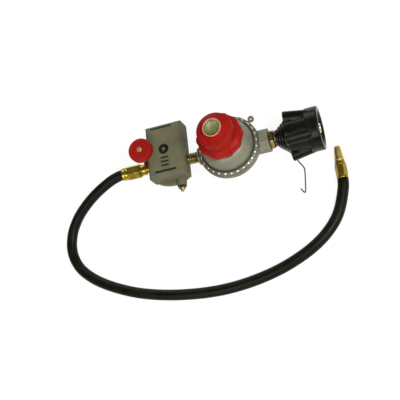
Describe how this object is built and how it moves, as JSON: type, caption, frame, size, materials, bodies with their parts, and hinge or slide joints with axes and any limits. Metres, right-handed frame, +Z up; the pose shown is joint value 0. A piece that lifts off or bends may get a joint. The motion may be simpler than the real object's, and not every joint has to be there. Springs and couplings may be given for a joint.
{
  "type": "gas regulator with timer valve and hose",
  "caption": "Low pressure gas regulator with red adjusting cap, hand coupling nut, grey shut-off timer box, needle valve and black rubber hose with brass ends.",
  "frame": {"origin": "middle of the part without its free hose, on the surface it lies on", "axes": "+X along the gas line towards the coupling nut's mouth, +Z up along the regulator's bonnet axis, +Y across"},
  "size_m": [0.3664, 0.2124, 0.1035],
  "materials": {
    "black_plastic": "satin moulded",
    "red_plastic": "glossy moulded",
    "dark_red_plastic": "glossy moulded",
    "grey_cast": "satin coated casting",
    "grey_plastic": "fine textured moulding",
    "brass": "machined",
    "steel": "plain drawn",
    "zinc": "dull plated",
    "rubber": "matt",
    "board": "solder mask",
    "winding": "enamelled wire",
    "pale_plastic": "moulded"
  },
  "bodies": {
    "regulator": {"inlet_nipple": "brass", "thermal_bushing": "black_plastic", "nose_seal": "rubber", "flow_spring": "steel", "poppet_retainer": "brass", "regulator_body": "grey_cast", "bonnet": "grey_cast", "flange_rivets": "steel", "diaphragm": "rubber", "main_spring": "steel", "lever_pin": "steel", "inlet_orifice": "brass", "outlet_nipple": "brass", "timer_cover": "grey_plastic", "rear_housing": "grey_plastic", "cover_screws": "steel", "battery_door": "grey_plastic", "button_spring": "steel", "circuit_board": "board", "push_switch": "steel", "buzzer": "black_plastic", "battery": "steel", "battery_contacts": "brass", "valve_block": "brass", "plunger_tube": "brass", "coil_bobbin": "pale_plastic", "coil_winding": "winding", "plunger_spring": "steel", "test_plug": "steel", "needle_valve_body": "brass", "packing_nut": "brass", "hose_insert": "brass", "hose_ferrule": "brass", "lp_hose": "rubber", "end_ferrule": "brass", "end_fitting": "brass"},
    "coupling_nut": {"coupling_nut": "black_plastic"},
    "wire_hook": {"wire_hook": "steel"},
    "flow_poppet": {"flow_poppet": "brass"},
    "diaphragm_plate": {"diaphragm_plate": "steel"},
    "valve_lever": {"valve_lever": "steel"},
    "seat_carrier": {"seat_carrier": "brass", "seat_pad": "rubber"},
    "spring_button": {"spring_button": "steel"},
    "adjusting_cap": {"adjusting_cap": "red_plastic", "adjusting_screw": "zinc"},
    "reset_button": {"reset_button": "black_plastic"},
    "plunger": {"plunger": "steel", "plunger_seal": "rubber"},
    "needle_tip": {"needle_tip": "steel"},
    "needle_knob": {"needle_knob": "dark_red_plastic", "needle_stem": "brass", "knob_screw": "brass"},
    "hose_nut": {"hose_nut": "brass"}
  },
  "joints": [
    {"name": "nut_turn", "type": "hinge", "parent": "regulator", "child": "coupling_nut", "pos_m": [0.106, 0.009, 0.0315], "axis": [1, 0, 0], "continuous": true},
    {"name": "hook_swing", "type": "hinge", "parent": "regulator", "child": "wire_hook", "pos_m": [0.0715, 0.009, 0.0315], "axis": [1, 0, 0], "range_deg": [-120, 0]},
    {"name": "flow_check", "type": "slide", "parent": "regulator", "child": "flow_poppet", "axis": [-1, 0, 0], "range_m": [0, 0.003], "stiffness_N_per_m": 200, "springref_m": -0.001, "deforming": ["flow_spring"]},
    {"name": "plate_slide", "type": "slide", "parent": "regulator", "child": "diaphragm_plate", "axis": [0, 0, 1], "range_m": [0, 0.002], "deforming": ["main_spring", "diaphragm"]},
    {"name": "lever_turn", "type": "hinge", "parent": "regulator", "child": "valve_lever", "pos_m": [0.026, 0.009, 0.0235], "axis": [0, 1, 0], "range_deg": [0, 11.46]},
    {"name": "seat_slide", "type": "slide", "parent": "regulator", "child": "seat_carrier", "axis": [1, 0, 0], "range_m": [0, 0.0016]},
    {"name": "spring_load", "type": "slide", "parent": "regulator", "child": "spring_button", "axis": [0, 0, 1], "range_m": [-0.003, 0.003], "deforming": ["main_spring"]},
    {"name": "cap_turn", "type": "hinge", "parent": "spring_button", "child": "adjusting_cap", "pos_m": [0.016, 0.009, 0.0815], "axis": [0, 0, 1], "range_deg": [-720.1, 720.1]},
    {"name": "reset_press", "type": "slide", "parent": "regulator", "child": "reset_button", "axis": [0, 0, -1], "range_m": [0, 0.0015], "stiffness_N_per_m": 400, "springref_m": -0.001, "deforming": ["button_spring"]},
    {"name": "plunger_pull", "type": "slide", "parent": "regulator", "child": "plunger", "axis": [0, 0, -1], "range_m": [0, 0.0025], "stiffness_N_per_m": 300, "springref_m": -0.002, "deforming": ["plunger_spring"]},
    {"name": "needle_lift", "type": "slide", "parent": "regulator", "child": "needle_tip", "axis": [0, 0, 1], "range_m": [0, 0.0045]},
    {"name": "needle_turn", "type": "hinge", "parent": "needle_tip", "child": "needle_knob", "pos_m": [-0.09, 0.024, 0.0515], "axis": [0, 0, 1], "range_deg": [0, 1080.1]},
    {"name": "hose_nut_turn", "type": "hinge", "parent": "regulator", "child": "hose_nut", "pos_m": [-0.11, 0.009, 0.0315], "axis": [1, 0, 0], "continuous": true}
  ],
  "couplings": [
    {"joint": "lever_turn", "follows": "plate_slide", "rad_per_m": 100},
    {"joint": "seat_slide", "follows": "plate_slide", "ratio": 0.8},
    {"joint": "cap_turn", "follows": "spring_load", "rad_per_m": 4188.8},
    {"joint": "needle_turn", "follows": "needle_lift", "rad_per_m": 4188.8}
  ]
}
